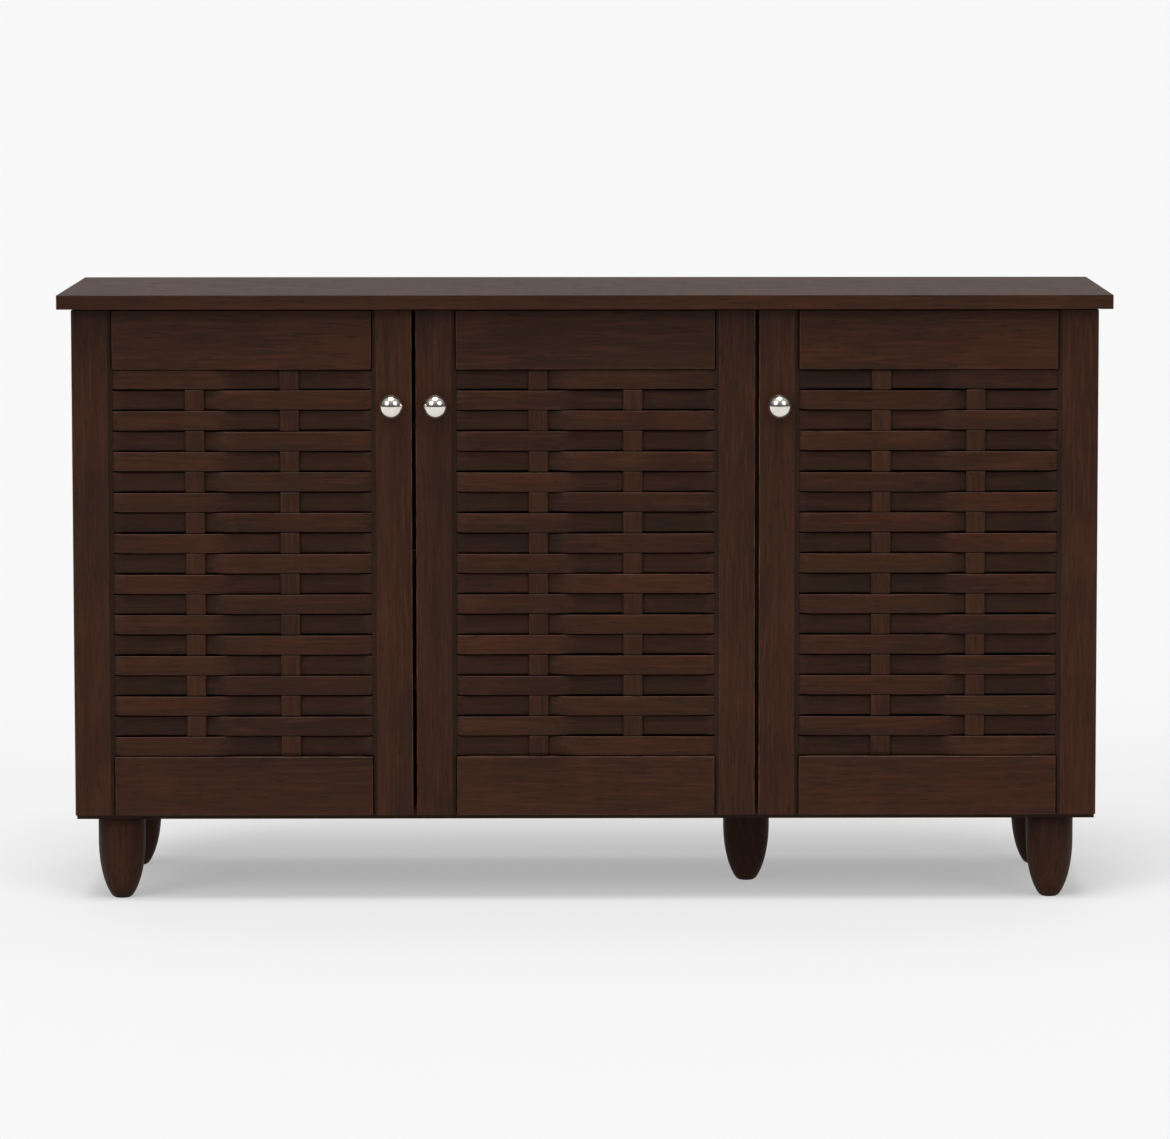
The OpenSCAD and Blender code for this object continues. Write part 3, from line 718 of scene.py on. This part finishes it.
def moulded_plastic(name):
    """Brown moulded plastic with a fine sparked texture."""
    s = Shader(bpy.data.materials.new(name))
    space = s.place()
    spark = s.noise(space, scale=1500, detail=2)
    cloud = s.noise(space, scale=80, detail=2)
    dark, light = colour(0.030, 0.018, 0.012), colour(0.045, 0.027, 0.018)
    tone = s.blend(s.band(cloud, 0.3, 0.7), dark, light)
    rough = s.band(cloud, 0.3, 0.7, 0.38, 0.52)
    return s.surface(tone, rough, s.bump(spark, 0.03 * MM, 0.3))


def bare_beech(name):
    """Bare beech with short flecks, for the dowels."""
    s = Shader(bpy.data.materials.new(name))
    space = s.place()
    grain = s.noise(s.scaled(space, (20, 300, 300)), detail=3)
    fleck = s.band(s.noise(s.scaled(space, (160, 900, 900)), detail=1), 0.60, 0.68)
    tone = s.blend(s.band(grain, 0.3, 0.7), colour(0.56, 0.37, 0.21), colour(0.42, 0.25, 0.13))
    tone = s.blend(s.maths("MULTIPLY", fleck, 0.6), tone, colour(0.24, 0.12, 0.055))
    rough = s.band(grain, 0.3, 0.7, 0.55, 0.70)
    return s.surface(tone, rough, s.bump(fleck, 0.05 * MM, 0.3))


def hardboard(name):
    """Pressed hardboard with short fibres, clumps and a slightly waxy face, for the back."""
    s = Shader(bpy.data.materials.new(name))
    space = s.place("Z")
    fibres = s.noise(s.scaled(space, (180, 700, 700)), detail=3, roughness=0.65, distortion=0.5)
    cloud = s.noise(space, scale=7, detail=4, roughness=0.6)
    clump = s.noise(s.scaled(space, (60, 150, 150)), detail=4, roughness=0.7, distortion=0.8)
    fleck = s.band(s.noise(space, scale=900, detail=1), 0.66, 0.74)
    dark, light = colour(0.070, 0.034, 0.018), colour(0.100, 0.051, 0.027)
    tone = s.blend(s.band(cloud, 0.3, 0.72), dark, light)
    tone = s.blend(s.band(clump, 0.45, 0.70, 0.0, 0.60), tone, colour(0.045, 0.021, 0.011))
    tone = s.blend(s.band(fibres, 0.42, 0.70, 0.0, 0.55), tone, colour(0.150, 0.082, 0.044))
    tone = s.blend(s.maths("MULTIPLY", fleck, 0.7), tone, colour(0.035, 0.017, 0.010))
    rough = s.band(fibres, 0.3, 0.7, 0.50, 0.66)
    return s.surface(tone, rough, s.bump(fibres, 0.08 * MM, 0.35), Specular_IOR_Level=0.3)


WOODS = {
    along: wood(f"stained_wood_along_{along.lower()}", along) for along in "XZ"
}
LEG_WOOD = wood("stained_leg_wood", "Z", False, False, gloss=0.52, sheen_level=0.12)
CROSS_WOOD = wood("stained_slat_wood_along_x", "X", True, False, gloss=0.42)
UPRIGHT_WOOD = wood("stained_slat_wood_along_z", "Z", False, False, gloss=0.42)
CHROME = chrome("polished_nickel")
STEEL = plated_steel("plated_steel")
ZINC = cast_zinc("cast_zinc")
PLASTIC = moulded_plastic("moulded_plastic")
BEECH = bare_beech("bare_beech")
HARDBOARD = hardboard("hardboard")


# ------------------------------------------------------------------------- CAD pieces


def dress(node, material, ease, angle):
    """Gives a CAD node its material, rounded edges and clean shading."""
    piece = frame["nodes"][node]
    mesh = piece.data
    if "custom_normal" in mesh.attributes:
        mesh.attributes.remove(mesh.attributes["custom_normal"])
    mesh.shade_smooth()
    mesh.materials.clear()
    mesh.materials.append(material)
    piece["grain_seed"] = seed_of(node)
    weld = piece.modifiers.new("weld", "WELD")
    weld.merge_threshold = WELD_GAP
    flat = piece.modifiers.new("planar", "DECIMATE")
    flat.decimate_type = "DISSOLVE"
    flat.angle_limit = PLANAR
    bevel = piece.modifiers.new("ease", "BEVEL")
    bevel.width = ease
    bevel.segments = EASE_SEGMENTS
    bevel.limit_method = "ANGLE"
    bevel.angle_limit = angle
    bevel.use_clamp_overlap = True
    normals = piece.modifiers.new("normals", "WEIGHTED_NORMAL")
    normals.keep_sharp = False


BOARD_GRAIN = {
    "top_panel": "X",
    "bottom_panel": "X",
    "left_side_panel": "Z",
    "right_side_panel": "Z",
    "partition": "Z",
}
for bay in ("left", "right"):
    for level in ("low", "middle", "high"):
        BOARD_GRAIN[f"{bay}_shelf_{level}"] = "X"
for door in DOORS:
    BOARD_GRAIN[f"{door}_door_hinge_stile"] = "Z"
    BOARD_GRAIN[f"{door}_door_knob_stile"] = "Z"
    BOARD_GRAIN[f"{door}_door_top_rail"] = "X"
    BOARD_GRAIN[f"{door}_door_bottom_rail"] = "X"
for node, along in BOARD_GRAIN.items():
    dress(node, WOODS[along], BOARD_EASE, BOARD_ANGLE)

FITTINGS = {
    "shelf_pins": STEEL,
    "cam_bolts": STEEL,
    "back_nails": STEEL,
    "leg_bolts": STEEL,
    "hinge_plates": STEEL,
    "hinge_arms": STEEL,
    "hinge_screws": STEEL,
    "cam_locks": ZINC,
    "magnetic_catches": PLASTIC,
    "panel_dowels": BEECH,
    "back_panel": HARDBOARD,
}
for door in DOORS:
    for part in ("knob_screw", "hinge_cups", "hinge_pins", "strike_plate"):
        FITTINGS[f"{door}_door_{part}"] = STEEL
for node, material in FITTINGS.items():
    dress(node, material, METAL_EASE, METAL_ANGLE)


# --------------------------------------------------------------------- rebuilt pieces


def place_piece(piece, node, material):
    """Puts a rebuilt piece in the place of a CAD node, on the same body."""
    piece["grain_seed"] = seed_of(node)
    piece.data.materials.append(material)
    cad = frame["nodes"][node]
    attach(piece, cad["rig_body"])
    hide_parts(node)


for door in DOORS:
    place_piece(cross_slats(door), f"{door}_door_cross_slats", CROSS_WOOD)
    place_piece(upright_slats(door), f"{door}_door_upright_slats", UPRIGHT_WOOD)
    place_piece(turned_knob(door), f"{door}_door_knob", CHROME)
for leg in LEGS:
    place_piece(turned_leg(leg), leg, LEG_WOOD)


# -------------------------------------------------------------------- stage and light


def pale_floor():
    """A wide pale floor. What it throws back on the cabinet is dimmer than what is seen of it,
    as in a studio where only a small part of the floor is lit."""
    ends = (-FLOOR_HALF, FLOOR_HALF)
    corners = [(ends[i], ends[j], 0) for i, j in ((0, 0), (1, 0), (1, 1), (0, 1))]
    floor = new_piece("floor", corners, [(0, 1, 2, 3)])
    s = Shader(bpy.data.materials.new("pale_floor"))
    seen = s.node("LightPath").outputs["Is Camera Ray"]
    speck = s.noise(s.node("TexCoord").outputs["Object"], scale=900, detail=2)
    tone = s.blend(speck, grey(FLOOR_TONES[0]), grey(FLOOR_TONES[1]))
    sheet = s.node("BsdfDiffuse", {"Color": tone})
    glow = s.node("Emission", {"Strength": s.band(seen, 0.0, 1.0, FLOOR_BOUNCE, FLOOR_GLOW)})
    both = s.node("AddShader", {0: sheet.outputs[0], 1: glow.outputs[0]})
    s.node("OutputMaterial", {"Surface": both.outputs[0]})
    floor.data.materials.append(s.owner)


def studio_sky():
    """A dim room with a bright ceiling and a lit backdrop behind the cabinet.
    The camera itself sees a plain pale backdrop all round."""
    world = bpy.data.worlds.new("studio")
    bpy.context.scene.world = world
    s = Shader(world)
    way = s.node("SeparateXYZ", {0: s.node("TexCoord").outputs["Generated"]}).outputs
    ceiling = s.band(way["Z"], 0.0, 1.0, ROOM_LIGHT, CEILING_LIGHT)
    behind = s.band(way["Y"], 0.2, 0.9, 0.0, BACKDROP_LIGHT)
    low = s.band(way["Z"], 0.65, 0.2)
    strength = s.maths("ADD", ceiling, s.maths("MULTIPLY", behind, low))
    light = s.node("Background", {"Strength": strength})
    backdrop = s.node("Background", {"Color": grey(BACKDROP_TONE)})
    seen = s.node("LightPath").outputs["Is Camera Ray"]
    mix = s.node("MixShader", {0: seen, 1: light.outputs[0], 2: backdrop.outputs[0]})
    s.node("OutputWorld", {"Surface": mix.outputs[0]})


def soft_lamp(name, azimuth, elevation, strength, spread):
    """A wide distant lamp that shines from azimuth and elevation, in degrees."""
    lamp = bpy.data.lights.new(name, "SUN")
    lamp.energy = strength
    lamp.angle = math.radians(spread)
    thing = bpy.data.objects.new(name, lamp)
    thing.rotation_euler = (math.radians(90 - elevation), 0, math.radians(azimuth))
    bpy.context.scene.collection.objects.link(thing)


def photo_camera():
    """The camera of the scene, at the viewing angle of the photograph."""
    camera = bpy.data.cameras.new("camera")
    camera.sensor_width = CAMERA_SENSOR
    camera.lens = CAMERA_LENS
    camera.shift_x, camera.shift_y = CAMERA_SHIFT
    camera.clip_end = CAMERA_REACH
    viewer = bpy.data.objects.new("camera", camera)
    viewer.location = CAMERA_PLACE
    viewer.rotation_euler = (math.pi / 2 - CAMERA_DIP, 0.0, -CAMERA_TURN)
    bpy.context.scene.collection.objects.link(viewer)
    bpy.context.scene.camera = viewer


pale_floor()
studio_sky()
for lamp in LAMPS:
    soft_lamp(*lamp)
photo_camera()
bpy.context.scene.view_settings.view_transform = "Standard"

bpy.context.view_layer.update()
